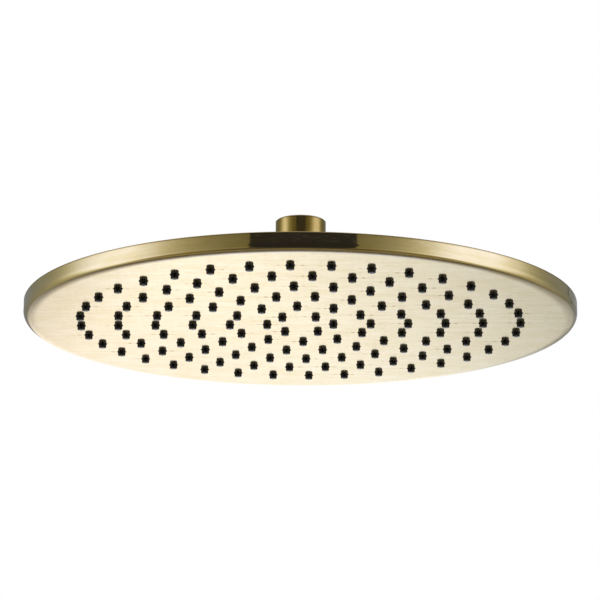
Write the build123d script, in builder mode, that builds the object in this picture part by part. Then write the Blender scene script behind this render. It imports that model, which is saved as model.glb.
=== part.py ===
from build123d import *

import os
from math import acos, cos, radians, sin, sqrt

# Rain shower head. The origin is on the axis of the inlet, at the first turn of its thread,
# and the nozzles point down. Millimetres.

# Disc: a pressed pan closed by a flat plate
head_diameter = 300.0
rim_height = 9.0
sheet_thickness = 1.0
lower_edge_radius = 3.0
edge_roll_width = 4.5
edge_roll_radius = 36.0
upper_edge_radius = 0.5
back_plate_thickness = 1.5
back_plate_gap = 0.05

# Nozzle field: ring after ring, each with six nozzles more than the one inside it
first_ring_radius = 18.0
ring_pitch = 20.3
ring_step_count = 6
face_hole_diameter = 5.2
nozzle_root_diameter = 4.3
nozzle_tip_diameter = 3.9
nozzle_tip_chamfer = 0.25
nozzle_reach = 2.4
nozzle_bore_diameter = 1.3
mat_thickness = 1.6

# Clamping of the mat and of the back plate
seal_land = 1.2
gasket_width = 3.0
gasket_thickness = 1.2
soft_gap = 0.3
wall_gap = 0.6
pillar_diameter = 6.0
pillar_gap = 0.2
outer_pillar_count = 12
inner_pillar_count = 6
inner_pillar_step = 2.5  # in ring pitches, so the pillars stand half-way between two rings
back_screw_diameter = 3.0
back_screw_head = 5.6
back_screw_engagement = 4.0
screw_gap = 0.1
screw_hole_spare = 0.5
countersink_angle = 90.0
back_screw_key = 2.0
back_screw_key_depth = 1.0

# Inlet socket
socket_diameter = 27.6
socket_height = 16.5
thread_diameter = 20.955
thread_length = 10.0
mouth_chamfer = 0.8
socket_chamfer = 0.6
relief_depth = 0.4
washer_thickness = 2.2
washer_gap = 0.15
screen_diameter = 14.8
screen_thickness = 0.6
screen_hole_diameter = 1.7
screen_hole_pitch = 2.6
screen_hole_rows = 4
screen_overlap = 0.45
regulator_height = 5.2
regulator_gap = 0.1
regulator_cup_diameter = 9.2
regulator_cup_depth = 2.6
regulator_outlet_diameter = 2.0
regulator_outlet_count = 6
regulator_ring_section = 2.2

# Ball swivel
tilt_each_way = 12.0
ball_overhang = 0.95
neck_diameter = 19.0
water_way_diameter = 12.0
ball_gap = 0.1
slide_gap = 0.3
upper_ring_thickness = 1.2
upper_ring_bottom = 0.6
seat_floor_thickness = 2.9
seat_bore_diameter = 18.0
seat_top_drop = 5.0
seat_o_ring_section = 2.0
tilt_spare = 0.7

# Hub and nut
hub_floor = 2.5
hub_bore_diameter = 16.0
cup_wall = 2.0
flange_thickness = 3.0
flange_chamfer = 0.8
hub_o_ring_radius = 11.5
hub_o_ring_section = 1.4
hub_screw_count = 6
hub_screw_diameter = 4.0
hub_screw_head = 7.4
hub_screw_key = 2.5
hub_screw_key_depth = 1.3
hub_screw_land = 1.5
backing_ring_thickness = 2.0
nut_wall = 3.0
nut_thread_gap = 0.15
nut_lip_thickness = 1.3
nut_floor_gap = 0.5
nut_chamfer = 0.8
nut_flat_depth = 1.2

# Radii of the disc, from its rim inwards
head_radius = head_diameter / 2
shell_inner_radius = head_radius - sheet_thickness
flat_radius = head_radius - lower_edge_radius - edge_roll_width
pillar_hole_radius = pillar_diameter / 2 + pillar_gap
outer_pillar_circle = flat_radius - wall_gap - pillar_diameter / 2
gasket_outer_radius = outer_pillar_circle - pillar_hole_radius - seal_land
gasket_inner_radius = gasket_outer_radius - gasket_width
clamp_inner_radius = gasket_inner_radius - seal_land
clamp_outer_radius = shell_inner_radius - wall_gap
mat_radius = gasket_outer_radius
field_radius = clamp_inner_radius - face_hole_diameter
ring_count = int((field_radius - first_ring_radius) // ring_pitch) + 1
rings = [(first_ring_radius + ring_pitch * k, ring_step_count * (k + 1)) for k in range(ring_count)]
inner_pillar_circle = first_ring_radius + ring_pitch * inner_pillar_step
pillar_circles = [(outer_pillar_circle, outer_pillar_count), (inner_pillar_circle, inner_pillar_count)]

# Heights inside the disc, above the face that the nozzles stand out of
mat_top = sheet_thickness + mat_thickness
nozzle_length = sheet_thickness + nozzle_reach
outer_roll_rise = edge_roll_radius - sqrt(edge_roll_radius**2 - (head_radius - flat_radius) ** 2)
inner_roll_rise = edge_roll_radius - sqrt(
    (edge_roll_radius - sheet_thickness) ** 2 - (shell_inner_radius - flat_radius) ** 2
)
back_plate_bottom = rim_height - back_plate_thickness
pillar_height = back_plate_bottom - sheet_thickness
pillar_thread_depth = back_screw_engagement + screw_hole_spare
gasket_bottom = back_plate_bottom - gasket_thickness

# Radii of the swivel: the nut slides over the socket, and the ball can't follow it
socket_radius = socket_diameter / 2
lip_radius = socket_radius + slide_gap
ball_radius = lip_radius + ball_overhang
seat_radius = ball_radius + ball_gap
upper_ring_radius = seat_radius + upper_ring_thickness
pocket_radius = upper_ring_radius + ball_gap
cup_radius = ball_radius + slide_gap
hub_thread_radius = cup_radius + cup_wall
nut_bore_radius = hub_thread_radius + nut_thread_gap
nut_radius = nut_bore_radius + nut_wall
hub_screw_circle = nut_radius + hub_screw_land + hub_screw_head / 2
flange_radius = hub_screw_circle + hub_screw_head / 2 + hub_screw_land
backing_inner_radius = hub_o_ring_radius + hub_o_ring_section
seat_step_radius = cup_radius - seat_o_ring_section - ball_gap
thread_radius = thread_diameter / 2
relief_radius = thread_radius + relief_depth
regulator_diameter = screen_diameter - 2 * screen_overlap
regulator_ring_radius = (regulator_cup_diameter - regulator_ring_section) / 2

# Heights in the swivel, above the middle of the ball
cup_floor = -sqrt(seat_radius**2 - (seat_bore_diameter / 2) ** 2) - seat_floor_thickness
upper_ring_top = sqrt(seat_radius**2 - lip_radius**2) - ball_gap
lip_bottom = sqrt(pocket_radius**2 - lip_radius**2)
nut_top = lip_bottom + nut_lip_thickness
nut_bottom = cup_floor - hub_floor + flange_thickness + nut_floor_gap
one_tilt = radians(tilt_each_way)
upper_ring_dip = upper_ring_radius * sin(one_tilt) - upper_ring_bottom * cos(one_tilt)
cup_height = hub_floor - cup_floor - upper_ring_dip - slide_gap
both_tilts = acos(cos(one_tilt) ** 2)
socket_bottom = (nut_top + tilt_spare + socket_radius * sin(both_tilts)) / cos(both_tilts)

# Places along the axis, from the first turn of the thread downwards
mouth_z = mouth_chamfer
socket_bottom_z = mouth_z - socket_height
ball_z = socket_bottom_z - socket_bottom
hub_z = ball_z + cup_floor - hub_floor
face_z = hub_z - rim_height
thread_end_z = -thread_length
washer_floor_z = thread_end_z - washer_thickness - washer_gap
regulator_floor_z = washer_floor_z - regulator_height

# Half sections through the axis, measured from the face, from the hub's underside, from the
# middle of the ball and from the first turn of the thread
from_face = Plane((0, 0, face_z), x_dir=(1, 0, 0), z_dir=(0, -1, 0))
from_hub = Plane((0, 0, hub_z), x_dir=(1, 0, 0), z_dir=(0, -1, 0))
from_ball = Plane((0, 0, ball_z), x_dir=(1, 0, 0), z_dir=(0, -1, 0))
from_thread = Plane.XZ

# Levels to draw on
face_inside = Plane.XY.offset(face_z + sheet_thickness)
back_plate_underside = Plane.XY.offset(face_z + back_plate_bottom)
back_plate_top = Plane.XY.offset(hub_z)
flange_top = Plane.XY.offset(hub_z + flange_thickness)
washer_floor = Plane.XY.offset(washer_floor_z)

# Front shell: face, rounded lower edge and rim are one pressed sheet, drilled for the nozzles.
# The flat of the face rolls off in a wide arc before the edge, as pressing and brushing leave it
with BuildPart() as front_shell:
    with BuildSketch(from_face) as pan_section:
        with BuildLine():
            Polyline((flat_radius, sheet_thickness), (0, sheet_thickness), (0, 0), (flat_radius, 0))
            TangentArc((flat_radius, 0), (head_radius, outer_roll_rise), tangent=(1, 0))
            Polyline(
                (head_radius, outer_roll_rise),
                (head_radius, rim_height),
                (shell_inner_radius, rim_height),
                (shell_inner_radius, inner_roll_rise),
            )
            TangentArc((flat_radius, sheet_thickness), (shell_inner_radius, inner_roll_rise), tangent=(1, 0))
        make_face()
        lower_corner = pan_section.vertices().sort_by_distance((head_radius, outer_roll_rise))[0]
        fillet(lower_corner, lower_edge_radius)
        inner_corner = pan_section.vertices().sort_by_distance((shell_inner_radius, inner_roll_rise))[0]
        fillet(inner_corner, lower_edge_radius - sheet_thickness)
        upper_corner = pan_section.vertices().sort_by_distance((head_radius, rim_height))[0]
        fillet(upper_corner, upper_edge_radius)
    revolve(axis=Axis.Z)
    with BuildSketch(Plane.XY.offset(face_z)):
        for radius, count in rings:
            with PolarLocations(radius, count):
                Circle(face_hole_diameter / 2)
    extrude(amount=sheet_thickness, mode=Mode.SUBTRACT)

# Nozzle mat: one silicone moulding, a nozzle with a chamfered tip and a fine bore at each hole of the face
with BuildPart(face_inside) as nozzle_mat:
    with BuildSketch(face_inside):
        Circle(mat_radius)
        with PolarLocations(inner_pillar_circle, inner_pillar_count):
            Circle(pillar_hole_radius, mode=Mode.SUBTRACT)
    extrude(amount=mat_thickness)
    for radius, count in rings:
        with PolarLocations(radius, count):
            Cone(
                nozzle_tip_diameter / 2,
                nozzle_root_diameter / 2,
                nozzle_length - nozzle_tip_chamfer,
                align=(Align.CENTER, Align.CENTER, Align.MAX),
            )
            with Locations((0, 0, nozzle_tip_chamfer - nozzle_length)):
                Cone(
                    nozzle_tip_diameter / 2 - nozzle_tip_chamfer,
                    nozzle_tip_diameter / 2,
                    nozzle_tip_chamfer,
                    align=(Align.CENTER, Align.CENTER, Align.MAX),
                )
    with BuildSketch(Plane.XY.offset(face_z - nozzle_reach)):
        for radius, count in rings:
            with PolarLocations(radius, count):
                Circle(nozzle_bore_diameter / 2)
    extrude(amount=nozzle_reach + mat_top, mode=Mode.SUBTRACT)

# Clamp ring: presses the edge of the mat onto the face, and carries the gasket in its top
with BuildPart() as clamp_ring:
    with BuildSketch(from_face):
        with BuildLine():
            Polyline(
                (clamp_inner_radius, mat_top),
                (mat_radius + soft_gap, mat_top),
                (mat_radius + soft_gap, sheet_thickness),
                (flat_radius, sheet_thickness),
                (clamp_outer_radius, lower_edge_radius),
                (clamp_outer_radius, back_plate_bottom),
                (gasket_outer_radius, back_plate_bottom),
                (gasket_outer_radius, gasket_bottom),
                (gasket_inner_radius, gasket_bottom),
                (gasket_inner_radius, back_plate_bottom),
                (clamp_inner_radius, back_plate_bottom),
                close=True,
            )
        make_face()
    revolve(axis=Axis.Z)
    with BuildSketch(face_inside):
        with PolarLocations(outer_pillar_circle, outer_pillar_count):
            Circle(pillar_hole_radius)
    extrude(amount=pillar_height, mode=Mode.SUBTRACT)

# Rim gasket: flat ring that fills the groove of the clamp ring
with BuildPart() as rim_gasket:
    with BuildSketch(Plane.XY.offset(face_z + gasket_bottom)):
        Circle(gasket_outer_radius)
        Circle(gasket_inner_radius, mode=Mode.SUBTRACT)
    extrude(amount=gasket_thickness)

# Stay pillars: welded to the inside of the face, tapped from above
with BuildPart() as stay_pillars:
    with BuildSketch(face_inside):
        for radius, count in pillar_circles:
            with PolarLocations(radius, count):
                Circle(pillar_diameter / 2)
    extrude(amount=pillar_height)
    with BuildSketch(back_plate_underside):
        for radius, count in pillar_circles:
            with PolarLocations(radius, count):
                Circle(back_screw_diameter / 2 + screw_gap)
    extrude(amount=-pillar_thread_depth, mode=Mode.SUBTRACT)

# Back plate: flat disc, flush with the rim, with the waterway in its middle
with BuildPart(back_plate_top) as back_plate:
    with BuildSketch(back_plate_top):
        Circle(shell_inner_radius - back_plate_gap)
        Circle(hub_bore_diameter / 2, mode=Mode.SUBTRACT)
        with PolarLocations(hub_screw_circle, hub_screw_count):
            Circle(hub_screw_diameter / 2 + screw_gap, mode=Mode.SUBTRACT)
    extrude(amount=-back_plate_thickness)
    for radius, count in pillar_circles:
        with PolarLocations(radius, count):
            CounterSinkHole(
                back_screw_diameter / 2 + screw_gap,
                back_screw_head / 2 + screw_gap,
                counter_sink_angle=countersink_angle,
            )

# Back screws: countersunk, with a hexagon socket, flush with the back plate
with BuildPart(back_plate_top) as back_screws:
    for radius, count in pillar_circles:
        with PolarLocations(radius, count):
            Cone(
                back_screw_diameter / 2,
                back_screw_head / 2,
                (back_screw_head - back_screw_diameter) / 2,
                align=(Align.CENTER, Align.CENTER, Align.MAX),
            )
            Cylinder(
                back_screw_diameter / 2,
                back_plate_thickness + back_screw_engagement,
                align=(Align.CENTER, Align.CENTER, Align.MAX),
            )
    with BuildSketch(back_plate_top):
        for radius, count in pillar_circles:
            with PolarLocations(radius, count):
                RegularPolygon(back_screw_key / 2, 6, major_radius=False)
    extrude(amount=-back_screw_key_depth, mode=Mode.SUBTRACT)

# Backing ring: lies under the middle of the back plate and takes the screws of the hub
with BuildPart() as backing_ring:
    with BuildSketch(back_plate_underside):
        Circle(flange_radius)
        Circle(backing_inner_radius, mode=Mode.SUBTRACT)
        with PolarLocations(hub_screw_circle, hub_screw_count):
            Circle(hub_screw_diameter / 2 + screw_gap, mode=Mode.SUBTRACT)
    extrude(amount=-backing_ring_thickness)

# Inlet hub: flange on the back plate, and the cup that the ball swivels in
with BuildPart(flange_top) as inlet_hub:
    with BuildSketch(from_hub) as hub_section:
        with BuildLine():
            Polyline(
                (hub_bore_diameter / 2, 0),
                (hub_o_ring_radius - hub_o_ring_section / 2, 0),
                (hub_o_ring_radius - hub_o_ring_section / 2, hub_o_ring_section),
                (hub_o_ring_radius + hub_o_ring_section / 2, hub_o_ring_section),
                (hub_o_ring_radius + hub_o_ring_section / 2, 0),
                (flange_radius, 0),
                (flange_radius, flange_thickness),
                (hub_thread_radius, flange_thickness),
                (hub_thread_radius, cup_height),
                (cup_radius, cup_height),
                (cup_radius, hub_floor),
                (hub_bore_diameter / 2, hub_floor),
                close=True,
            )
        make_face()
        flange_corner = hub_section.vertices().sort_by_distance((flange_radius, flange_thickness))[0]
        chamfer(flange_corner, flange_chamfer)
    revolve(axis=Axis.Z)
    with PolarLocations(hub_screw_circle, hub_screw_count):
        CounterSinkHole(
            hub_screw_diameter / 2 + screw_gap,
            hub_screw_head / 2 + screw_gap,
            counter_sink_angle=countersink_angle,
        )

# Hub O-ring: pressed flat between the groove of the hub and the back plate
with BuildPart() as hub_o_ring:
    with Locations((0, 0, hub_z + hub_o_ring_section / 2)):
        Torus(hub_o_ring_radius, hub_o_ring_section / 2)

# Hub screws: countersunk, through the flange and the back plate into the backing ring
with BuildPart(flange_top) as hub_screws:
    with PolarLocations(hub_screw_circle, hub_screw_count):
        Cone(
            hub_screw_diameter / 2,
            hub_screw_head / 2,
            (hub_screw_head - hub_screw_diameter) / 2,
            align=(Align.CENTER, Align.CENTER, Align.MAX),
        )
        Cylinder(
            hub_screw_diameter / 2,
            flange_thickness + back_plate_thickness + backing_ring_thickness,
            align=(Align.CENTER, Align.CENTER, Align.MAX),
        )
    with BuildSketch(flange_top):
        with PolarLocations(hub_screw_circle, hub_screw_count):
            RegularPolygon(hub_screw_key / 2, 6, major_radius=False)
    extrude(amount=-hub_screw_key_depth, mode=Mode.SUBTRACT)

# Lower ball seat: plastic cup under the ball, stepped for its O-ring
with BuildPart() as lower_ball_seat:
    with BuildSketch(from_ball):
        with BuildLine():
            Polyline(
                (seat_bore_diameter / 2, cup_floor),
                (seat_step_radius, cup_floor),
                (seat_step_radius, cup_floor + seat_o_ring_section + ball_gap),
                (cup_radius - ball_gap, cup_floor + seat_o_ring_section + ball_gap),
                (cup_radius - ball_gap, -seat_top_drop),
                (seat_bore_diameter / 2, -seat_top_drop),
                close=True,
            )
        make_face()
        Circle(seat_radius, mode=Mode.SUBTRACT)
    revolve(axis=Axis.Z)

# Seat O-ring: seals the step of the seat against the wall of the cup
with BuildPart() as seat_o_ring:
    with Locations((0, 0, ball_z + cup_floor + seat_o_ring_section / 2)):
        Torus(cup_radius - seat_o_ring_section / 2, seat_o_ring_section / 2)

# Upper ball ring: thin plastic zone of a sphere between the ball and the nut
with BuildPart() as upper_ball_ring:
    with BuildSketch(from_ball):
        with Locations((0, upper_ring_bottom)):
            Rectangle(
                upper_ring_radius,
                upper_ring_top - upper_ring_bottom,
                align=(Align.MIN, Align.MIN),
            )
        Circle(upper_ring_radius, mode=Mode.INTERSECT)
        Circle(seat_radius, mode=Mode.SUBTRACT)
    revolve(axis=Axis.Z)

# Swivel nut: screws onto the hub, and its lip holds the ball down; two flats take a spanner
with BuildPart() as swivel_nut:
    with BuildSketch(from_ball) as nut_section:
        with BuildLine():
            Polyline(
                (lip_radius, nut_top),
                (lip_radius, 0),
                (nut_bore_radius, 0),
                (nut_bore_radius, nut_bottom),
                (nut_radius, nut_bottom),
                (nut_radius, nut_top),
                close=True,
            )
        make_face()
        Circle(pocket_radius, mode=Mode.SUBTRACT)
        outer_corners = nut_section.vertices().group_by(Axis.X)[-1]
        chamfer(outer_corners, nut_chamfer)
    revolve(axis=Axis.Z)
    with BuildSketch(Plane.XY.offset(ball_z + nut_bottom)):
        Circle(nut_radius)
        Rectangle(2 * nut_radius, 2 * (nut_radius - nut_flat_depth), mode=Mode.SUBTRACT)
    extrude(amount=nut_top - nut_bottom, mode=Mode.SUBTRACT)

# Inlet connector: socket for the pipe, neck and ball turned from one bar
with BuildPart() as inlet_connector:
    with BuildSketch(from_thread) as socket_section:
        with BuildLine():
            Polyline(
                (0, ball_z),
                (neck_diameter / 2, ball_z),
                (neck_diameter / 2, socket_bottom_z),
                (socket_radius, socket_bottom_z),
                (socket_radius, mouth_z),
                (0, mouth_z),
                close=True,
            )
        make_face()
        chamfer(socket_section.vertices().group_by(Axis.X)[-1], socket_chamfer)
    revolve(axis=Axis.Z)
    with Locations((0, 0, ball_z)):
        Sphere(ball_radius)
    with BuildSketch(from_thread):
        with BuildLine():
            Polyline(
                (0, mouth_z),
                (thread_radius + mouth_chamfer, mouth_z),
                (thread_radius, 0),
                (thread_radius, thread_end_z),
                (relief_radius, thread_end_z),
                (relief_radius, washer_floor_z),
                (regulator_diameter / 2 + regulator_gap, washer_floor_z),
                (regulator_diameter / 2 + regulator_gap, regulator_floor_z),
                (water_way_diameter / 2, regulator_floor_z),
                (water_way_diameter / 2, ball_z - ball_radius),
                (0, ball_z - ball_radius),
                close=True,
            )
        make_face()
    revolve(axis=Axis.Z, mode=Mode.SUBTRACT)

# Inlet washer: lies at the bottom of the thread and seals the end of the pipe
with BuildPart() as inlet_washer:
    with BuildSketch(washer_floor):
        Circle(relief_radius - washer_gap)
        Circle(screen_diameter / 2 + washer_gap, mode=Mode.SUBTRACT)
    extrude(amount=washer_thickness)

# Filter screen: perforated disc inside the washer
with BuildPart() as filter_screen:
    with BuildSketch(washer_floor):
        Circle(screen_diameter / 2)
        with HexLocations(screen_hole_pitch / 2, screen_hole_rows, screen_hole_rows, major_radius=False):
            Circle(screen_hole_diameter / 2, mode=Mode.SUBTRACT)
    extrude(amount=screen_thickness)

# Flow regulator: plastic cup under the screen, with a ring of outlets in its floor
with BuildPart() as flow_regulator:
    with BuildSketch(Plane.XY.offset(regulator_floor_z)):
        Circle(regulator_diameter / 2)
        with PolarLocations(regulator_ring_radius, regulator_outlet_count):
            Circle(regulator_outlet_diameter / 2, mode=Mode.SUBTRACT)
    extrude(amount=regulator_height)
    with BuildSketch(washer_floor):
        Circle(regulator_cup_diameter / 2)
    extrude(amount=-regulator_cup_depth, mode=Mode.SUBTRACT)

# Regulator ring: elastic ring that narrows the outlets as the pressure rises
with BuildPart() as regulator_ring:
    with Locations((0, 0, washer_floor_z - regulator_cup_depth + regulator_ring_section / 2)):
        Torus(regulator_ring_radius, regulator_ring_section / 2)

pieces = {
    "front_shell": front_shell,
    "nozzle_mat": nozzle_mat,
    "clamp_ring": clamp_ring,
    "rim_gasket": rim_gasket,
    "stay_pillars": stay_pillars,
    "back_plate": back_plate,
    "back_screws": back_screws,
    "backing_ring": backing_ring,
    "inlet_hub": inlet_hub,
    "hub_o_ring": hub_o_ring,
    "hub_screws": hub_screws,
    "lower_ball_seat": lower_ball_seat,
    "seat_o_ring": seat_o_ring,
    "upper_ball_ring": upper_ball_ring,
    "swivel_nut": swivel_nut,
    "inlet_connector": inlet_connector,
    "inlet_washer": inlet_washer,
    "filter_screen": filter_screen,
    "flow_regulator": flow_regulator,
    "regulator_ring": regulator_ring,
}
os.makedirs("parts", exist_ok=True)
for label, piece in pieces.items():
    piece.part.label = label
    export_step(piece.part, f"parts/{label}.step")
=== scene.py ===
import math

import bpy
import numpy as np
from mathutils import Matrix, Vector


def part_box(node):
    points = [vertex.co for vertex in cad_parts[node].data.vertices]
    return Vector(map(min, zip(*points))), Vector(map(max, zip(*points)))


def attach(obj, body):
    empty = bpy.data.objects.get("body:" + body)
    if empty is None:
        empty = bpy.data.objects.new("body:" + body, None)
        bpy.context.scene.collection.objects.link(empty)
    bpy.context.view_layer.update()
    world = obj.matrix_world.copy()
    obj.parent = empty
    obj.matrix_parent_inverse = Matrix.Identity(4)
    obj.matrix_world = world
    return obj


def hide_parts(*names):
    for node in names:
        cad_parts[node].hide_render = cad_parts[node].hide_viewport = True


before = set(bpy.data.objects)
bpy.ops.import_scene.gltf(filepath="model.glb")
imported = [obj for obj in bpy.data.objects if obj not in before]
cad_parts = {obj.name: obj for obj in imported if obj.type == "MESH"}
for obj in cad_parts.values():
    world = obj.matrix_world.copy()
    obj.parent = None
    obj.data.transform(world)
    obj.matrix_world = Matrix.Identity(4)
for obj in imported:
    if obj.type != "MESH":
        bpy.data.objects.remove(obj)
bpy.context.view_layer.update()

# Front shell: face, rounded lower edge and rim pressed in one from brass sheet, drilled for the nozzles.
# The face is brushed straight from side to side, the rim around its edge, and the whole has a bronze finish.
# The brushing crosses the holes, so that it drags a short dark tail out of many of them.
HEAD_RADIUS = 0.150
RIM_HEIGHT = 0.009
SHEET = 0.001
FLAT_RADIUS = 0.1425
ROLL_RADIUS = 0.036
EDGE_RADIUS = 0.003
UPPER_EDGE = 0.0005
FLAT_END = 0.0001
FACE_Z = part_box("front_shell")[0].z
RINGS = 6
RING_STEP = 6
FIRST_RING = 0.018
RING_PITCH = 0.0203
HOLE_RADIUS = 0.0026
HOLE_EDGE = 0.00005
RIM_SIDES = 360
MIDDLE_SIDES = 24
SIDE_STEPS = 6
SHARP_ANGLE = math.radians(35.0)

BRONZE = (0.842, 0.728, 0.478, 1)
BRONZE_WORN = (0.762, 0.635, 0.342, 1)
CLOUD_TINT = (1.0, 0.975, 0.935, 1)
# Painted shade at the top edge of brushed pieces: its tint, and the height it darkens over.
EDGE_SHADE_TINT = (0.55, 0.50, 0.40, 1)
EDGE_SHADE_FADE = 0.0006
FACE_METAL = 0.97
BRUSH_TURN = math.radians(2.47)
RIM_LAY = (HEAD_RADIUS - 0.0032, HEAD_RADIUS - 0.0022)
STRAIGHT_DRAW = 0.06
ROUND_DRAW = 0.008
ROUND_LEAN = 1.4
STRAIGHT_PATCH = (12.0, 1.0, 1.0)
ROUND_PATCH = (12.0, 12.0, 1.0)
FINE_SCALE, BROAD_SCALE, PATCH_SCALE, CLOUD_SCALE = 4200.0, 260.0, 75.0, 17.0
STREAKS = {"Detail": 3.0, "Roughness": 0.6}
FINE_SHARE, BROAD_SHARE, PATCH_SHARE = 0.15, 0.35, 0.5
TONE_RANGE = (0.40, 0.60)
CLOUD_RANGE = (0.35, 0.65)
SCRATCH_RANGE = (0.54, 0.60)
UNSCRATCHED = 0.75
ALONG_SCRATCHES = 0.25
TAIL_TINT = (0.52, 0.38, 0.10, 1)
TAIL_LENGTH = 0.016
TAIL_WIDTH = 0.0020
TAIL_STRENGTH = 0.3
TAIL_SET_BACK = HOLE_RADIUS + 0.3 * TAIL_LENGTH
TAIL_RANGE = {-1: (0.25, 0.9), 1: (0.7, 0.9)}
DASH_START = 0.0006
DASH_LENGTH = 0.0020
DASH_EDGE = 0.0005


def put_mesh(name, points, groups, material):
    """Makes an object at the origin from an array of points and arrays of faces, smooth up to the sharp angle."""
    mesh = bpy.data.meshes.new(name)
    mesh.from_pydata(points.reshape(-1, 3).tolist(), [], [face for group in groups for face in group.tolist()])
    mesh.polygons.foreach_set("use_smooth", np.ones(len(mesh.polygons), bool))
    mesh.set_sharp_from_angle(angle=SHARP_ANGLE)
    mesh.materials.append(material)
    made = bpy.data.objects.new(name, mesh)
    bpy.context.scene.collection.objects.link(made)
    return made


def turned_quads(rows, sides, loop=False):
    """Quads between neighbouring rows of a surface of revolution, whose last column meets the first.
    In a loop, the last row meets the first one too."""
    i, j = np.meshgrid(np.arange(rows if loop else rows - 1), np.arange(sides), indexing="ij")
    below, beside = (i + 1) % rows, (j + 1) % sides
    quads = np.stack([i * sides + j, below * sides + j, below * sides + beside, i * sides + beside], -1)
    return quads.reshape(-1, 4)


def turned_caps(rows, sides):
    """Many-sided caps for a surface of revolution: its first row, and its last row the other way around."""
    return np.stack([np.arange(sides), rows * sides - 1 - np.arange(sides)])


def copies(faces, count, step):
    """Faces of a number of equal shapes, whose points follow each other at the given step."""
    return (faces + step * np.arange(count)[:, None, None]).reshape(-1, faces.shape[1])


def turned(profile, sides):
    """Points of a surface of revolution: each (r, z) of the profile carried around the axis."""
    a = np.linspace(0, 2 * np.pi, sides, endpoint=False)
    r, z = np.asarray(profile, float).T
    return np.stack([r[:, None] * np.cos(a), r[:, None] * np.sin(a), np.repeat(z[:, None], sides, 1)], -1)


def arc(r, z, radius, start, end, count):
    """Arc in a section: centre plus radius times (sine, minus cosine) of an angle from straight down."""
    t = np.radians(np.linspace(start, end, count))
    return np.stack([r + radius * np.sin(t), z - radius * np.cos(t)], -1)


def rim_section(inner):
    """Section of the sheet from its inside, up the wall, over the top and back along its outside: the flat,
    the wide roll-off, the lower edge, which touches roll-off and wall, the wall and the small upper edge.
    A row close to each end of wall and flat keeps them flat in the shading."""
    middle = HEAD_RADIUS - EDGE_RADIUS
    lean = math.degrees(math.asin((middle - FLAT_RADIUS) / (ROLL_RADIUS - EDGE_RADIUS)))
    edge_z = ROLL_RADIUS - (ROLL_RADIUS - EDGE_RADIUS) * math.cos(math.radians(lean))
    return np.concatenate([
        [(inner, SHEET)], arc(FLAT_RADIUS, ROLL_RADIUS, ROLL_RADIUS - SHEET, 0, lean, 5),
        arc(middle, edge_z, EDGE_RADIUS - SHEET, lean, 90, 9)[1:], [(HEAD_RADIUS - SHEET, RIM_HEIGHT)],
        arc(HEAD_RADIUS - UPPER_EDGE, RIM_HEIGHT - UPPER_EDGE, UPPER_EDGE, 180, 90, 7),
        [(HEAD_RADIUS, RIM_HEIGHT - UPPER_EDGE - FLAT_END), (HEAD_RADIUS, edge_z + FLAT_END)],
        arc(middle, edge_z, EDGE_RADIUS, 90, lean, 29),
        arc(FLAT_RADIUS, ROLL_RADIUS, ROLL_RADIUS, lean, 0, 11)[1:],
        [(FLAT_RADIUS - FLAT_END, 0), (inner, 0)]])


def drilled_ring(k, inner_steps, outer_steps):
    """One ring of the face, cut into a sector around each hole. Rows of a sector run from its border on the
    inside to the hole, down the hole to its broken edge, and out again to the border on the face;
    columns go around: each point of the hole lies on the line from its centre to a point of the border."""
    count, reach = RING_STEP * (k + 1), FIRST_RING + k * RING_PITCH
    step, low, high = 2 * np.pi / count, reach - RING_PITCH / 2, reach + RING_PITCH / 2
    inner_turn = np.linspace(-step / 2, step / 2, inner_steps + 1)[:-1]
    outer_turn = np.linspace(step / 2, -step / 2, outer_steps + 1)[:-1]
    side_turn, up = np.full(SIDE_STEPS, step / 2), np.linspace(low, high, SIDE_STEPS + 1)
    border_turn = np.concatenate([inner_turn, side_turn, outer_turn, -side_turn])
    border_reach = np.concatenate([np.full(inner_steps, low), up[:-1], np.full(outer_steps, high), up[:0:-1]])
    turn = np.arange(count)[:, None] * step
    border = np.stack([border_reach * np.cos(border_turn + turn), border_reach * np.sin(border_turn + turn)], -1)
    centre = np.stack([reach * np.cos(turn), reach * np.sin(turn)], -1)
    way = (border - centre) / np.linalg.norm(border - centre, axis=-1, keepdims=True)
    hole, hole_mouth = centre + way * HOLE_RADIUS, centre + way * (HOLE_RADIUS + HOLE_EDGE)
    rows = [(border, SHEET), (hole, SHEET), (hole, HOLE_EDGE), (hole_mouth, 0.0), (border, 0.0)]
    points = np.stack([np.insert(xy, 2, z, axis=-1) for xy, z in rows], 1)
    sides = len(border_turn)
    return points.reshape(-1, 3), copies(turned_quads(len(rows), sides), count, len(rows) * sides)


def drilled_shell():
    """The whole shell: rim, middle and rings of holes, with neighbouring points merged into one skin."""
    rim = turned(rim_section(FIRST_RING + (RINGS - 0.5) * RING_PITCH), RIM_SIDES)
    middle_reach = FIRST_RING - RING_PITCH / 2
    middle = turned([(middle_reach, SHEET), (middle_reach, 0)], MIDDLE_SIDES)
    parts = [(rim.reshape(-1, 3), turned_quads(len(rim), RIM_SIDES)),
             (middle.reshape(-1, 3), turned_caps(len(middle), MIDDLE_SIDES))]
    for k in range(RINGS):
        inner_steps = 2 * k if k else MIDDLE_SIDES // RING_STEP
        outer_steps = 2 * (k + 2) if k < RINGS - 1 else RIM_SIDES // (RING_STEP * RINGS)
        parts.append(drilled_ring(k, inner_steps, outer_steps))
    starts = np.cumsum([0] + [len(points) for points, faces in parts])
    points = np.round(np.concatenate([points for points, faces in parts]), 8)
    points, merged = np.unique(points, axis=0, return_inverse=True)
    groups = [merged.reshape(-1)[faces + start] for (_, faces), start in zip(parts, starts)]
    return points + (0, 0, FACE_Z), groups


def add(tree, kind, inputs=None, **settings):
    """Adds one shader node. inputs maps a socket's name or number to a value or to a socket to join."""
    made = tree.nodes.new("ShaderNode" + kind)
    for key, value in settings.items():
        setattr(made, key, value)
    for key, value in (inputs or {}).items():
        if isinstance(value, bpy.types.NodeSocket):
            tree.links.new(value, made.inputs[key])
        else:
            made.inputs[key].default_value = value
    return made


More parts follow.
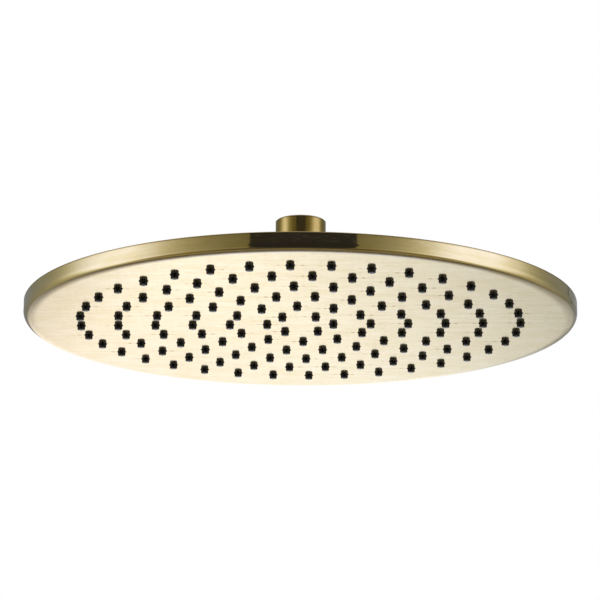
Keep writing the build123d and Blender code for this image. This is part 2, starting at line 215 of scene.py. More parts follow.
def maths(tree, operation, a, b=0.0, c=0.0):
    """One Math node on up to three numbers or sockets."""
    return add(tree, "Math", {0: a, 1: b, 2: c}, operation=operation).outputs[0]


def off_axis(tree, x, y):
    """Distance from the axis: the root of x squared plus y squared."""
    return maths(tree, "SQRT", maths(tree, "ADD", maths(tree, "MULTIPLY", x, x), maths(tree, "MULTIPLY", y, y)))


def fade(tree, value, start, end, low=0.0, high=1.0, curve="LINEAR"):
    """A Map Range node: start to end becomes low to high, held at both ends."""
    return add(tree, "MapRange", {0: value, 1: start, 2: end, 3: low, 4: high}, interpolation_type=curve).outputs[0]


def blend(tree, share, a, b, kind="MIX"):
    """Mixes two colours by a share."""
    return add(tree, "Mix", {0: share, 6: a, 7: b}, data_type="RGBA", blend_type=kind).outputs[2]


def blend_vectors(tree, share, a, b):
    """Mixes two vectors by a share."""
    return add(tree, "Mix", {0: share, 4: a, 5: b}, data_type="VECTOR").outputs[1]


def noise(tree, place, scale, **more):
    """A noise texture at a place."""
    return add(tree, "TexNoise", {"Vector": place, "Scale": scale, **more}).outputs["Fac"]


def new_material(name, metallic, specular=0.5):
    """An empty material: gives the material, its tree, its shader and the piece's own coordinates."""
    made = bpy.data.materials.new(name)
    made.use_nodes = True
    tree = made.node_tree
    shader = tree.nodes["Principled BSDF"]
    shader.inputs["Metallic"].default_value = metallic
    shader.inputs["Specular IOR Level"].default_value = specular
    return made, tree, shader, add(tree, "TexCoord").outputs["Object"]


def hole_tails(tree, x, y, u, v, side):
    """Tails dragged out of the holes to one side (-1 left, 1 right): a faint line that fades along the lay,
    and a short dash in it. The hole in question is the nearest of its ring, found from the distance and
    angle of a point set back by a third of a tail; each hole has its own strength and dash."""
    hole_x = maths(tree, "ADD", x, -side * TAIL_SET_BACK * math.cos(BRUSH_TURN))
    hole_y = maths(tree, "ADD", y, -side * TAIL_SET_BACK * math.sin(BRUSH_TURN))
    r = off_axis(tree, hole_x, hole_y)
    ring = maths(tree, "ROUND", maths(tree, "MULTIPLY_ADD", r, 1 / RING_PITCH, -FIRST_RING / RING_PITCH))
    ring = maths(tree, "MINIMUM", maths(tree, "MAXIMUM", ring, 0.0), RINGS - 1.0)
    step = maths(tree, "DIVIDE", 2 * math.pi / RING_STEP, maths(tree, "ADD", ring, 1.0))
    in_ring = maths(tree, "ROUND", maths(tree, "DIVIDE", maths(tree, "ARCTAN2", hole_y, hole_x), step))
    turn = maths(tree, "MULTIPLY_ADD", in_ring, step, -BRUSH_TURN)
    reach = maths(tree, "MULTIPLY_ADD", ring, RING_PITCH, FIRST_RING)
    along = maths(tree, "SUBTRACT", u, maths(tree, "MULTIPLY", reach, maths(tree, "COSINE", turn)))
    across = maths(tree, "SUBTRACT", v, maths(tree, "MULTIPLY", reach, maths(tree, "SINE", turn)))
    past_hole = maths(tree, "MULTIPLY_ADD", along, side, -HOLE_RADIUS)
    hole_key = add(tree, "CombineXYZ", {0: ring, 1: in_ring, 2: float(side)}).outputs[0]
    own = add(tree, "TexWhiteNoise", {"Vector": hole_key}).outputs["Value"]
    line = maths(tree, "MULTIPLY", fade(tree, past_hole, 0.0, TAIL_LENGTH, 1.0, 0.0),
                 maths(tree, "GREATER_THAN", past_hole, -HOLE_RADIUS))
    line = maths(tree, "MULTIPLY", line, TAIL_STRENGTH)
    own_place = maths(tree, "FRACT", maths(tree, "MULTIPLY", own, 7.0))
    middle = maths(tree, "MULTIPLY_ADD", own_place, DASH_LENGTH, DASH_START + DASH_LENGTH / 2)
    apart = maths(tree, "ABSOLUTE", maths(tree, "SUBTRACT", past_hole, middle))
    dash_ends = (DASH_LENGTH / 2 - DASH_EDGE, DASH_LENGTH / 2 + DASH_EDGE)
    dash = fade(tree, apart, *dash_ends, 1.0, 0.0, "SMOOTHSTEP")
    narrow = fade(tree, maths(tree, "ABSOLUTE", across), 0.0, TAIL_WIDTH, 1.0, 0.0, "SMOOTHSTEP")
    shape = maths(tree, "MULTIPLY", maths(tree, "MAXIMUM", line, dash), narrow)
    return maths(tree, "MULTIPLY", shape, fade(tree, own, *TAIL_RANGE[side]))


def round_lay(tree, x, y, z, r):
    """Coordinates of a turned lay (the unit circle drawn out along it, r and z across), and its direction."""
    safe = maths(tree, "MAXIMUM", r, 1e-4)
    cos_a, sin_a = maths(tree, "DIVIDE", x, safe), maths(tree, "DIVIDE", y, safe)
    along = add(tree, "CombineXYZ", {0: maths(tree, "MULTIPLY", cos_a, ROUND_DRAW),
                                     1: maths(tree, "MULTIPLY", sin_a, ROUND_DRAW),
                                     2: maths(tree, "MULTIPLY_ADD", z, ROUND_LEAN, r)})
    way = add(tree, "CombineXYZ", {0: maths(tree, "MULTIPLY", sin_a, -1.0), 1: cos_a, 2: 0.0})
    return along.outputs[0], way.outputs[0]


def straight_lay(tree, u, v):
    """Coordinates of a straight lay, drawn out along it, and its direction."""
    along = add(tree, "CombineXYZ", {0: maths(tree, "MULTIPLY", u, STRAIGHT_DRAW), 1: v, 2: 0.0})
    way = add(tree, "CombineXYZ", {0: math.cos(BRUSH_TURN), 1: math.sin(BRUSH_TURN), 2: 0.0})
    return along.outputs[0], way.outputs[0]


def brushed(name, lay, roughness, anisotropy, bright=BRONZE, worn=BRONZE_WORN, metallic=1.0, top=1.0, scratch=1.5):
    """Bronze finish over brushed brass. The lay is turned, straight, or that of the face with its turned rim.
    Streaks are noise on the coordinates of the lay. About a fifth of the fine streaks are scratches, with the
    roughness times the factor given. The face has the tails of its holes and scatters a little light.
    Towards the top edge the colour is darkened as painted shade, a shadow gap against the part above."""
    made, tree, shader, place = new_material(name, metallic)
    x, y, z = add(tree, "SeparateXYZ", {0: place}).outputs
    r = off_axis(tree, x, y)
    if lay == "turned":
        (along, way), stretch = round_lay(tree, x, y, z, r), ROUND_PATCH
    else:
        c, s = math.cos(BRUSH_TURN), math.sin(BRUSH_TURN)
        u = maths(tree, "MULTIPLY_ADD", x, c, maths(tree, "MULTIPLY", y, s))
        v = maths(tree, "MULTIPLY_ADD", y, c, maths(tree, "MULTIPLY", x, -s))
        (along, way), stretch = straight_lay(tree, u, v), STRAIGHT_PATCH
    if lay == "face":
        rim = fade(tree, r, *RIM_LAY)
        round_along, round_way = round_lay(tree, x, y, z, r)
        along, way = blend_vectors(tree, rim, along, round_along), blend_vectors(tree, rim, way, round_way)
        stretch = blend_vectors(tree, rim, STRAIGHT_PATCH, ROUND_PATCH)
        tree.links.new(fade(tree, rim, 0.0, 1.0, FACE_METAL, 1.0), shader.inputs["Metallic"])
    drawn_in = add(tree, "VectorMath", {0: along, 1: stretch}, operation="MULTIPLY").outputs[0]
    fine = noise(tree, along, FINE_SCALE, **STREAKS)
    broad = noise(tree, along, BROAD_SCALE, **STREAKS)
    patch = noise(tree, drawn_in, PATCH_SCALE, **STREAKS)
    grain = maths(tree, "MULTIPLY_ADD", fine, FINE_SHARE, maths(tree, "MULTIPLY", broad, BROAD_SHARE))
    grain = maths(tree, "MULTIPLY_ADD", patch, PATCH_SHARE, grain)
    colour = blend(tree, fade(tree, grain, *TONE_RANGE), worn, bright)
    cloud = noise(tree, place, CLOUD_SCALE, Detail=1.0)
    colour = blend(tree, fade(tree, cloud, *CLOUD_RANGE), colour, CLOUD_TINT, "MULTIPLY")
    if lay == "face":
        tails = maths(tree, "MAXIMUM", hole_tails(tree, x, y, u, v, -1), hole_tails(tree, x, y, u, v, 1))
        colour = blend(tree, tails, colour, TAIL_TINT, "MULTIPLY")
    # Painted shade: darker towards the top edge, as a shadow gap.
    painted_edge_shade = fade(tree, z, top - EDGE_SHADE_FADE, top)
    colour = blend(tree, painted_edge_shade, colour, EDGE_SHADE_TINT, "MULTIPLY")
    tree.links.new(colour, shader.inputs["Base Color"])
    coarse = fade(tree, fine, *SCRATCH_RANGE, UNSCRATCHED, scratch)
    tree.links.new(maths(tree, "MULTIPLY", coarse, roughness), shader.inputs["Roughness"])
    shader.inputs["Anisotropic"].default_value = anisotropy
    shader.inputs["Anisotropic Rotation"].default_value = ALONG_SCRATCHES
    world_way = add(tree, "VectorTransform", {0: way}, vector_type="VECTOR", convert_from="OBJECT",
                    convert_to="WORLD")
    tree.links.new(world_way.outputs[0], shader.inputs["Tangent"])
    bump = add(tree, "Bump", {"Strength": 0.04, "Distance": 0.0002, "Height": grain})
    tree.links.new(bump.outputs[0], shader.inputs["Normal"])
    return made


def dress(node, material):
    """Gives a CAD node its finish."""
    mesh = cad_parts[node].data
    mesh.materials.clear()
    mesh.materials.append(material)


# The rim gets painted shade at its top edge, as a shadow gap against the back plate.
FACE_AND_RIM = brushed("bronze_face_and_rim", "face", roughness=0.07, anisotropy=0.93,
                       top=FACE_Z + RIM_HEIGHT - UPPER_EDGE, scratch=2.1)
shell = put_mesh("drilled_shell", *drilled_shell(), FACE_AND_RIM)
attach(shell, "head")
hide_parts("front_shell")

# Stay pillars: short brass pillars welded to the inside of the face and tapped for the back screws.
# They are plain turned brass, without the bronze finish.
def clouded(name, metallic, specular, scale, detail, dark, light, smooth, rough):
    """A plain finish, with a fine noise that takes its colour from dark to light and its roughness
    from smooth to rough."""
    made, tree, shader, place = new_material(name, metallic, specular)
    cloud = noise(tree, place, scale, Detail=detail)
    tree.links.new(blend(tree, cloud, dark, light), shader.inputs["Base Color"])
    tree.links.new(fade(tree, cloud, 0.0, 1.0, smooth, rough), shader.inputs["Roughness"])
    return made


BRASS = clouded("bare_brass", metallic=1.0, specular=0.5, scale=900.0, detail=3.0,
                dark=(0.70, 0.50, 0.21, 1), light=(0.83, 0.63, 0.31, 1), smooth=0.24, rough=0.38)
dress("stay_pillars", BRASS)

# Nozzle mat: one black silicone moulding behind the face, with a soft nozzle through each hole.
# Each nozzle has a rounded end with a fine outlet, so that scale can be rubbed off with a thumb.
MAT_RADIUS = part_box("nozzle_mat")[1].x
MAT_LOW = 0.0010
MAT_HIGH = 0.0026
MAT_SIDES = 96
NOZZLE_SIDES = 12
NOZZLE_MM = [(2.5, 1.2), (2.59, 0.0), (2.1, -0.7), (2.06, -2.1), (1.8, -2.33), (1.3, -2.4), (0.5, -2.4), (0.4, -1.2)]
SILICONE_BLACK = (0.002, 0.0015, 0.001, 1)
SILICONE_BLOOM = (0.006, 0.005, 0.003, 1)
# Painted highlight at the nozzle ends: its grey, and the height where it starts.
TIP_HIGHLIGHT_GREY = (0.032, 0.030, 0.026, 1)
END_Z = FACE_Z - 0.0023
TIP_HIGHLIGHT_START = FACE_Z - 0.0006
END_GLOSS = 0.8
SIDE_GLOSS = 0.12
GLOSS_FADE = 0.0001


def silicone(name):
    """Black silicone: dull, with the fine bloom of a mould; the nozzles get glossier at their ends, and greyer
    towards them as a painted highlight of the light on their rounded ends.
    """
    made, tree, shader, place = new_material(name, 0.0)
    cloud = noise(tree, place, 700.0, Detail=4.0)
    height = add(tree, "SeparateXYZ", {0: place}).outputs[2]
    # Painted highlight: the colour turns grey towards the nozzle ends.
    grey = maths(tree, "POWER", fade(tree, height, TIP_HIGHLIGHT_START, END_Z), 2.0)
    colour = blend(tree, grey, blend(tree, cloud, SILICONE_BLACK, SILICONE_BLOOM), TIP_HIGHLIGHT_GREY)
    tree.links.new(colour, shader.inputs["Base Color"])
    tree.links.new(fade(tree, cloud, 0.0, 1.0, 0.16, 0.26), shader.inputs["Roughness"])
    gloss = fade(tree, height, END_Z, END_Z + GLOSS_FADE, END_GLOSS, SIDE_GLOSS)
    tree.links.new(gloss, shader.inputs["Specular IOR Level"])
    bump = add(tree, "Bump", {"Strength": 0.06, "Distance": 0.0001, "Height": cloud})
    tree.links.new(bump.outputs[0], shader.inputs["Normal"])
    return made


SILICONE = silicone("black_silicone")
one_nozzle = turned(np.array(NOZZLE_MM) / 1000, NOZZLE_SIDES)
ring_holes = RING_STEP * (np.arange(RINGS) + 1)
ring = np.repeat(np.arange(RINGS), ring_holes)
in_ring = np.concatenate([np.arange(count) for count in ring_holes])
hole_turn, hole_reach = in_ring * 2 * np.pi / ring_holes[ring], FIRST_RING + RING_PITCH * ring
hole_x, hole_y = hole_reach * np.cos(hole_turn), hole_reach * np.sin(hole_turn)
nozzle_points = np.stack([hole_x, hole_y, np.full(len(ring), FACE_Z)], -1)[:, None, None, :] + one_nozzle
disc_points = turned([(MAT_RADIUS, MAT_HIGH), (MAT_RADIUS, MAT_LOW)], MAT_SIDES) + (0, 0, FACE_Z)
mat_points = np.concatenate([nozzle_points.reshape(-1, 3), disc_points.reshape(-1, 3)])
nozzle_step, disc_start = one_nozzle.size // 3, nozzle_points.size // 3
mat_faces = [copies(turned_quads(len(one_nozzle), NOZZLE_SIDES), len(ring), nozzle_step),
             copies(turned_caps(len(one_nozzle), NOZZLE_SIDES), len(ring), nozzle_step),
             disc_start + turned_quads(len(disc_points), MAT_SIDES),
             disc_start + turned_caps(len(disc_points), MAT_SIDES)]
mat = put_mesh("silicone_nozzles", mat_points, mat_faces, SILICONE)
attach(mat, "head")
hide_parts("nozzle_mat")

# Clamp ring and rim gasket: a moulded acetal ring presses the edge of the mat onto the face,
# and a flat rubber ring in its groove seals it against the back plate.
ACETAL = clouded("white_acetal", metallic=0.0, specular=0.5, scale=120.0, detail=3.0,
                 dark=(0.72, 0.71, 0.67, 1), light=(0.82, 0.81, 0.77, 1), smooth=0.3, rough=0.42)
RUBBER = clouded("black_rubber", metallic=0.0, specular=0.4, scale=500.0, detail=4.0,
                 dark=(0.012, 0.012, 0.012, 1), light=(0.035, 0.035, 0.034, 1), smooth=0.5, rough=0.7)
dress("clamp_ring", ACETAL)
dress("rim_gasket", RUBBER)

# Back plate: flat brass disc that closes the shell and is screwed to the stay pillars.
# It is brushed straight like the face, with the same bronze finish, but more coarsely.
dress("back_plate", brushed("bronze_back_plate", "straight", roughness=0.24, anisotropy=0.8))

# Back screws and hub screws: countersunk screws with a hexagon socket, of plain stainless steel.
# They hold the back plate to the pillars, and the hub through the back plate to the backing ring.
STAINLESS = clouded("stainless_steel", metallic=1.0, specular=0.5, scale=1500.0, detail=3.0,
                    dark=(0.50, 0.47, 0.41, 1), light=(0.64, 0.605, 0.53, 1), smooth=0.22, rough=0.34)
dress("back_screws", STAINLESS)
dress("hub_screws", STAINLESS)

# Backing ring: flat ring of bare brass under the middle of the back plate.
# It is drilled and tapped for the hub screws, so that they don't pull on thin sheet.
dress("backing_ring", BRASS)

# Inlet hub, its O-ring and the swivel nut: a turned brass cup with a flange, sealed by a rubber ring on the
# back plate, and the nut that is screwed onto the cup over the ball.
# Both are brushed around in the lathe and have the bronze finish, darker than on the shell.
TURNED_LIGHT = (0.55, 0.42, 0.155, 1)
TURNED_DARK = (0.47, 0.345, 0.12, 1)
MOUTH_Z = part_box("inlet_connector")[1].z
MOUTH_EDGE = 0.0007
# The top edge of the socket gets the same painted shade.
TURNED_BRONZE = brushed("bronze_turned", "turned", roughness=0.13, anisotropy=0.8, bright=TURNED_LIGHT,
                        worn=TURNED_DARK, metallic=0.97, top=MOUTH_Z - MOUTH_EDGE)
dress("inlet_hub", TURNED_BRONZE)
dress("swivel_nut", TURNED_BRONZE)
dress("hub_o_ring", RUBBER)

# Ball seats: two acetal parts that the ball turns in, a cup under it and a thin ring over it.
# The cup lies in the hub on a rubber O-ring, and the nut presses the ring down.
dress("lower_ball_seat", ACETAL)
dress("seat_o_ring", RUBBER)
dress("upper_ball_ring", ACETAL)

# Inlet connector: socket, neck and ball turned from one brass bar, with the bronze finish.
# The socket is cut with a half-inch pipe thread, which the pipe screws into.
THREAD_RADIUS = 0.0104775
THREAD_PITCH = 0.001814
THREAD_DEPTH = 0.00116
THREAD_ROOT = 0.00003
THREAD_BURIED = 0.0003
THREAD_TOP = -0.0003
THREAD_END = -0.0098
THREAD_ROWS = 121
THREAD_SIDES = 72
TOOTH_FULLNESS = 2.2
dress("inlet_connector", TURNED_BRONZE)


def pipe_thread():
    """Inside of a screw thread: radius = bore less depth times a rounded tooth of (height / pitch + turn),
    with angle and height as the two parameters. The tooth fades out over one pitch at both ends,
    and two more rows inside the wall close the ring."""
    a = np.linspace(0, 2 * np.pi, THREAD_SIDES, endpoint=False)
    z = np.linspace(THREAD_END, THREAD_TOP, THREAD_ROWS)[:, None]
    wave = np.cos(2 * np.pi * z / THREAD_PITCH + a)
    tooth = 0.5 + 0.5 * np.tanh(TOOTH_FULLNESS * wave) / np.tanh(TOOTH_FULLNESS)
    runs_out = np.clip(np.minimum(THREAD_TOP - z, z - THREAD_END) / THREAD_PITCH, 0, 1)
    r = THREAD_RADIUS + THREAD_ROOT - (THREAD_DEPTH + THREAD_ROOT) * tooth * runs_out
    r = np.concatenate([r, np.full((2, THREAD_SIDES), THREAD_RADIUS + THREAD_BURIED)])
    z = np.concatenate([z, [[THREAD_TOP], [THREAD_END]]])
    return np.stack([r * np.cos(a), r * np.sin(a), z + 0 * a], -1)


thread_points = pipe_thread()
thread_faces = turned_quads(len(thread_points), THREAD_SIDES, loop=True)
thread = put_mesh("socket_thread", thread_points, [thread_faces], TURNED_BRONZE)
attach(thread, "inlet")

# Inlet washer, screen, regulator and its ring: they lie in the socket under the end of the pipe.
# The rubber washer holds the steel screen, and under it a moulded insert with a rubber ring limits the flow.
dress("inlet_washer", RUBBER)
dress("filter_screen", STAINLESS)
dress("flow_regulator", ACETAL)
dress("regulator_ring", RUBBER)

# Backdrop: even white all around, as behind a product in a studio.
# It is a little dimmer as a light than to the eye, so that matt pieces keep their shade.
BACKDROP_LIGHT = 0.8


def seen_ray(tree):
    """1 for rays that show the backdrop itself: seen directly, mirrored or through glass."""
    path = add(tree, "LightPath").outputs
    seen = maths(tree, "MAXIMUM", path["Is Camera Ray"], path["Is Glossy Ray"])
    return maths(tree, "MAXIMUM", seen, path["Is Transmission Ray"])


world = bpy.data.worlds.new("studio")
bpy.context.scene.world = world
world.use_nodes = True
sky = world.node_tree
backdrop = sky.nodes["Background"].inputs
sky.links.new(fade(sky, seen_ray(sky), 0, 1, BACKDROP_LIGHT, 1.0), backdrop["Strength"])
backdrop["Color"].default_value = (1, 1, 1, 1)

# Floor: pale and matt, as far under the head as that of a shower.
# It shows in views from above, and lights the face from below.
FLOOR_Z = -2.15
FLOOR_HALF = 12.0
floor_material, floor_tree, floor_shader, floor_place = new_material("pale_floor", 0.0, 0.2)
mottle = noise(floor_tree, floor_place, 3.0, Detail=2.0)
floor_tone = blend(floor_tree, mottle, (0.84, 0.835, 0.82, 1), (0.87, 0.865, 0.85, 1))
floor_tree.links.new(floor_tone, floor_shader.inputs["Base Color"])
floor_shader.inputs["Roughness"].default_value = 0.8
floor_corners = np.array([(-1, -1), (1, -1), (1, 1), (-1, 1)]) * FLOOR_HALF
floor = put_mesh("floor", np.insert(floor_corners, 2, FLOOR_Z, axis=1), [np.array([[0, 1, 2, 3]])], floor_material)

# Room of cards: a round room that only shiny pieces mirror. It has a dark flag in front, at the camera, a soft
# box at each side, grey cards behind, a dim floor and a pale ceiling. The rim mirrors it around a height of
# 0.46 m and the socket around 0.58 m. Its bearings are in degrees from the front, to the right.
ROOM_RADIUS = 2.0
ROOM_LOW = -2.1
ROOM_HIGH = 2.6
ROOM_COLUMNS = 181
RIM_MIRRORED = 0.46
WARM_WALL = (0.07, 0.057, 0.016, 1)
GREY_WALL = (0.18, 0.192, 0.185, 1)
LOW_GREY = (0.27, 0.25, 0.17, 1)
GREY_RISE = (-1.2, -0.5)
GREY_BEARINGS = (90, 130)
BOX_CORE = (1.12, 1.18, 1.5, 1)
BOX_EDGE = (1.12, 1.06, 0.60, 1)
BOX_TOP = (0.50, 0.57)
BOX_SPREAD = 0.8
BOX_BACK_LEAN = -3.0
BOX_BACK_FADE = (100, 125, 1.0, 0.6)
LEFT_BOX = {"side": -1, "centre": 78.7, "half_width": 25.4, "edge": 2.8, "lean": 2.8, "shift": -2.0, "narrow": 8.6}
RIGHT_BOX = {"side": 1, "centre": 73.3, "half_width": 26.3, "edge": 3.4, "lean": 2.3, "shift": 5.0, "narrow": 7.0}
GREY_BACK = (0.225, 0.24, 0.265, 1)
BACK_LEFT = (-135, -165)
BACK_RIGHT = (142.8, 143.8)
BACK_FOOT = (-90, 90, 0.3, -0.1)
BACK_RISE = (-0.75, -0.4)
GAP_BEARING = 142.0
GAP_FADE = (0.6, 1.6, 0.4, 0.0)
FLOOR_CARD = (0.068, 0.06, 0.05, 1)
FLOOR_EDGE = (0.36, 0.30, 0.13, 1)
FLOOR_EDGE_FADE = (0.4, 1.6)
WALL_START = 1.2
DARK_FLAG = (0.025, 0.0235, 0.0245, 1)
FLAG_BEARING = 1.1
FLAG_HALF = 20.5
FLAG_SPREAD = 0.58
FLAG_TAPER = -9.0
FLAG_EDGE = (0.0, 0.3, 1, 0)
FLAG_START = (0.1, 0.45)
HIGH_WALL = (0.55, 0.54, 0.51, 1)
HIGH_RISE = (0.75, 1.3)
CEILING = (0.62, 0.61, 0.57, 1)
CEILING_RISE = (ROOM_HIGH - 0.1, ROOM_HIGH - 0.05)
UNLIT = (0, 0, 0, 1)


def card_light(name):
    """An empty material that shines evenly: gives the material, its tree, its colour and its place."""
    made = bpy.data.materials.new(name)
    made.use_nodes = True
    tree = made.node_tree
    tree.nodes.remove(tree.nodes["Principled BSDF"])
    glow = add(tree, "Emission", {"Strength": 1.0})
    tree.links.new(glow.outputs[0], tree.nodes["Material Output"].inputs["Surface"])
    place = add(tree, "SeparateXYZ", {0: add(tree, "TexCoord").outputs["Object"]}).outputs
    return made, tree, glow.inputs["Color"], place


def mirrored_only(name, points, material):
    """A card that shows in mirroring surfaces alone: points are a grid of rows and columns."""
    rows, columns = points.shape[:2]
    i, j = np.meshgrid(np.arange(rows - 1), np.arange(columns - 1), indexing="ij")
    first = i * columns + j
    quads = np.stack([first, first + 1, first + columns + 1, first + columns], -1)
    made = put_mesh(name, points, [quads.reshape(-1, 4)], material)
    for flag in ("visible_camera", "visible_diffuse", "visible_shadow", "visible_transmission"):
        setattr(made, flag, False)


room_material, room, room_glow, (room_x, room_y, room_z) = card_light("room_cards")
bearing = maths(room, "ARCTAN2", room_x, maths(room, "MULTIPLY", room_y, -1.0))
bearing = maths(room, "MULTIPLY_ADD", bearing, 180 / math.pi, -math.degrees(BRUSH_TURN))
from_front = maths(room, "ABSOLUTE", bearing)
distance = off_axis(room, room_x, room_y)
forward = maths(room, "MULTIPLY", distance, maths(room, "COSINE", maths(room, "RADIANS", bearing)))
lower = maths(room, "MAXIMUM", maths(room, "SUBTRACT", RIM_MIRRORED, room_z), 0.0)
drop = maths(room, "MULTIPLY", lower, lower)


def soft_box(side, centre, half_width, edge, lean, shift, narrow):
    """Bell around the box's bearing, 1 / (1 + (distance / half width) ^ edge); it leans out and widens
    as it goes down, and its top is set to a side and narrower."""
    middle = maths(room, "MULTIPLY_ADD", drop, lean, fade(room, room_z, *BOX_TOP, centre, centre + shift))
    half = fade(room, room_z, *BOX_TOP, half_width, half_width - narrow)
    half = maths(room, "MULTIPLY_ADD", drop, BOX_SPREAD, half)
    apart = maths(room, "SUBTRACT", maths(room, "MULTIPLY", bearing, side), middle)
    bell = maths(room, "POWER", maths(room, "DIVIDE", maths(room, "ABSOLUTE", apart), half), edge)
    return maths(room, "DIVIDE", 1.0, maths(room, "ADD", bell, 1.0))


grey = blend(room, fade(room, room_z, *GREY_RISE), LOW_GREY, GREY_WALL)
wall = blend(room, fade(room, from_front, *GREY_BEARINGS), WARM_WALL, grey)
box_light = maths(room, "ADD", soft_box(**LEFT_BOX), soft_box(**RIGHT_BOX))
box_back = fade(room, maths(room, "MULTIPLY_ADD", drop, BOX_BACK_LEAN, from_front), *BOX_BACK_FADE)
box_light = maths(room, "MULTIPLY", box_light, box_back)
boxes = blend(room, box_light, UNLIT, blend(room, box_light, BOX_EDGE, BOX_CORE))
wall = blend(room, 1.0, wall, boxes, "ADD")
behind = maths(room, "ADD", fade(room, bearing, *BACK_LEFT), fade(room, bearing, *BACK_RIGHT))
back_height = maths(room, "SUBTRACT", room_z, fade(room, bearing, *BACK_FOOT))
wall = blend(room, maths(room, "MULTIPLY", behind, fade(room, back_height, *BACK_RISE)), wall, GREY_BACK)
from_gap = maths(room, "ABSOLUTE", maths(room, "SUBTRACT", bearing, GAP_BEARING))
wall = blend(room, fade(room, from_gap, *GAP_FADE), wall, DARK_FLAG)
ground = blend(room, fade(room, distance, *FLOOR_EDGE_FADE), FLOOR_CARD, FLOOR_EDGE)
wall = blend(room, fade(room, distance, WALL_START, ROOM_RADIUS, 0, 1, "SMOOTHSTEP"), ground, wall)
flag_half = maths(room, "MULTIPLY_ADD", distance, FLAG_TAPER, FLAG_HALF - FLAG_TAPER * ROOM_RADIUS)
flag_half = maths(room, "MULTIPLY_ADD", drop, FLAG_SPREAD, flag_half)
from_flag = maths(room, "ABSOLUTE", maths(room, "SUBTRACT", bearing, FLAG_BEARING))
flag = fade(room, maths(room, "SUBTRACT", from_flag, flag_half), *FLAG_EDGE)
flag = maths(room, "MULTIPLY", flag, fade(room, forward, *FLAG_START))
wall = blend(room, flag, wall, DARK_FLAG)
wall = blend(room, fade(room, room_z, *HIGH_RISE), wall, HIGH_WALL)
wall = blend(room, fade(room, room_z, *CEILING_RISE), wall, CEILING)
room.links.new(wall, room_glow)
room_section = np.array([(0.0, ROOM_LOW), (ROOM_RADIUS / 2, ROOM_LOW), (ROOM_RADIUS, ROOM_LOW), (ROOM_RADIUS, 0.0),
                         (ROOM_RADIUS, ROOM_HIGH), (ROOM_RADIUS / 2, ROOM_HIGH), (0.0, ROOM_HIGH)])
room_r, room_h = room_section[:, :1], room_section[:, 1:]
room_turn = np.radians(np.linspace(-180, 180, ROOM_COLUMNS))
room_points = np.stack([room_r * np.sin(room_turn), -room_r * np.cos(room_turn), room_h + 0 * room_turn], -1)
mirrored_only("room_cards", room_points, room_material)

# Light panel: a tall card before the back of the room, which the flat of the face mirrors.
# It is brightest left of its middle and fades to both sides, along slanted lines; its foot is dim, and
# a short cool zone in its lower middle shows in the near edge of the face.
PANEL_Y = 1.85
PANEL_HALF = 0.75
PANEL_LOW = -2.1
PANEL_HIGH = 0.7
FACE_MIRRORED = -0.533
SLANT_END = -0.12
RIGHT_SLANT = -0.95
RIGHT_FADE = (-0.01, 0.53, 1.27, 0.36)
LEFT_SLANT = -0.8
LEFT_FADE = (0.235, 0.525, 1.0, 0.25)
RISE_FADE = (-0.62, -0.47, 1.06, 0.945)
HIGH_ZONE = (-0.47, -0.41)
HIGH_LEFT_FADE = (-0.50, -0.42, 0.25, 1.2)
HIGH_RIGHT_FADE = (0.17, 0.40, 1.0, 0.24)
LEFT_TINT = (1.01, 0.985, 1.01, 1)
RIGHT_TINT = (0.98, 1.02, 1.08, 1)
TINT_FADE = (-0.3, 0.3)
COOL_LIGHT = (1.05, 1.18, 1.62, 1)
COOL_ZONE = (-0.64, -0.78)
COOL_SIDES = (0.15, 0.30, 1, 0)
FOOT_LIGHT = (0.118, 0.096, 0.062, 1)
FOOT_RISE = (-1.03, -0.70)
panel_material, panel, panel_glow, (panel_x, _, panel_z) = card_light("light_panel")
across = maths(panel, "ADD", panel_x, PANEL_Y * math.tan(BRUSH_TURN))
rise = maths(panel, "MAXIMUM", maths(panel, "ADD", panel_z, -FACE_MIRRORED), SLANT_END)
to_right = maths(panel, "MULTIPLY_ADD", rise, RIGHT_SLANT, across)
to_left = maths(panel, "MULTIPLY_ADD", rise, LEFT_SLANT, maths(panel, "MULTIPLY", across, -1.0))
tone = maths(panel, "MULTIPLY", fade(panel, to_right, *RIGHT_FADE), fade(panel, to_left, *LEFT_FADE))
tone = maths(panel, "MULTIPLY", tone, fade(panel, panel_z, *RISE_FADE))
high = maths(panel, "MULTIPLY", fade(panel, across, *HIGH_LEFT_FADE), fade(panel, across, *HIGH_RIGHT_FADE))
higher = maths(panel, "SUBTRACT", high, tone)
tone = maths(panel, "MULTIPLY_ADD", fade(panel, panel_z, *HIGH_ZONE), higher, tone)
tint = blend(panel, fade(panel, across, *TINT_FADE), LEFT_TINT, RIGHT_TINT)
lit = add(panel, "Mix", {0: tone, 6: UNLIT, 7: tint}, data_type="RGBA", clamp_factor=False).outputs[2]
cool = fade(panel, maths(panel, "ABSOLUTE", across), *COOL_SIDES)
cool = maths(panel, "MULTIPLY", fade(panel, panel_z, *COOL_ZONE), cool)
lit = blend(panel, cool, lit, COOL_LIGHT)
panel.links.new(blend(panel, fade(panel, panel_z, *FOOT_RISE), FOOT_LIGHT, lit), panel_glow)
panel_points = np.array([[(x, PANEL_Y, z) for x in (-PANEL_HALF, PANEL_HALF)] for z in (PANEL_LOW, PANEL_HIGH)])
mirrored_only("light_panel", panel_points, panel_material)

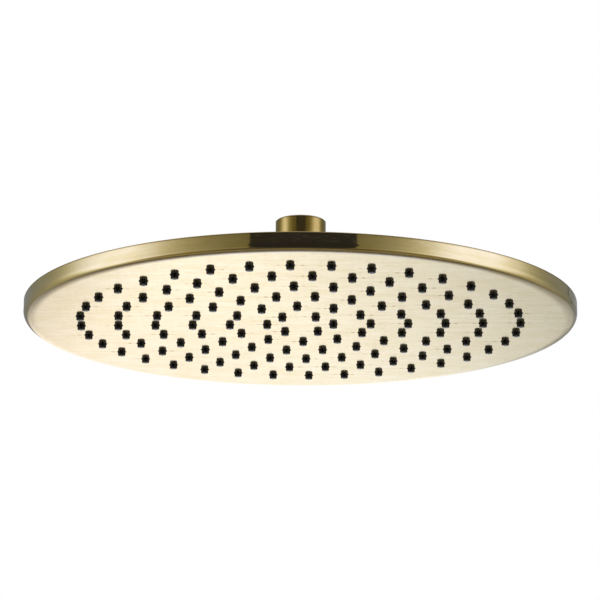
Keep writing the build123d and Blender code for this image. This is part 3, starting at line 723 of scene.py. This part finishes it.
# Lamps: three soft boxes, at both sides and overhead, which light the matt pieces.
# Shiny pieces mirror the cards in their place.
LAMP_AIM = np.array([0, 0, -0.05])


def lamp(name, place, size, power):
    """A square area lamp that faces the head."""
    data = bpy.data.lights.new(name, "AREA")
    data.shape = "RECTANGLE"
    data.size, data.size_y, data.energy = size, size, power
    made = bpy.data.objects.new(name, data)
    made.location = place
    way = LAMP_AIM - place
    made.rotation_euler = (math.acos(-way[2] / np.linalg.norm(way)), 0, math.atan2(way[1], way[0]) - math.pi / 2)
    made.visible_glossy = False
    bpy.context.scene.collection.objects.link(made)


lamp("left_box", (-1.8, -0.8, 0.6), 1.2, 18)
lamp("right_box", (1.8, -0.8, 0.6), 1.2, 18)
lamp("top_box", (0, 0.6, 2.0), 1.6, 20)

# Camera: in front of the head and below it, looking up at its face, as in the photograph.
# It aims at the middle of the face, from the side that the brushing is square to; the shift sets the frame.
DISTANCE = 1.5715
RISE = math.radians(14.413)
ROLL = math.radians(0.25)
away = np.array([-math.sin(BRUSH_TURN), math.cos(BRUSH_TURN), 0])
level_right = np.array([math.cos(BRUSH_TURN), math.sin(BRUSH_TURN), 0])
straight_up = np.array([0, 0, 1.0])
ahead = away * math.cos(RISE) + straight_up * math.sin(RISE)
level_up = straight_up * math.cos(RISE) - away * math.sin(RISE)
camera_right = level_right * math.cos(ROLL) + level_up * math.sin(ROLL)
camera_up = level_up * math.cos(ROLL) - level_right * math.sin(ROLL)
view = np.eye(4)
view[:3, 0], view[:3, 1], view[:3, 2] = camera_right, camera_up, -ahead
view[:3, 3] = np.array([0, 0, FACE_Z]) - ahead * DISTANCE
lens = bpy.data.cameras.new("camera")
lens.lens = 173.44
lens.sensor_width = 36.0
lens.shift_x = -0.0004
lens.shift_y = 0.0406
lens.clip_end = 100.0
camera = bpy.data.objects.new("camera", lens)
camera.matrix_world = Matrix(view.tolist())
bpy.context.scene.collection.objects.link(camera)
bpy.context.scene.camera = camera
bpy.context.scene.view_settings.view_transform = "Standard"
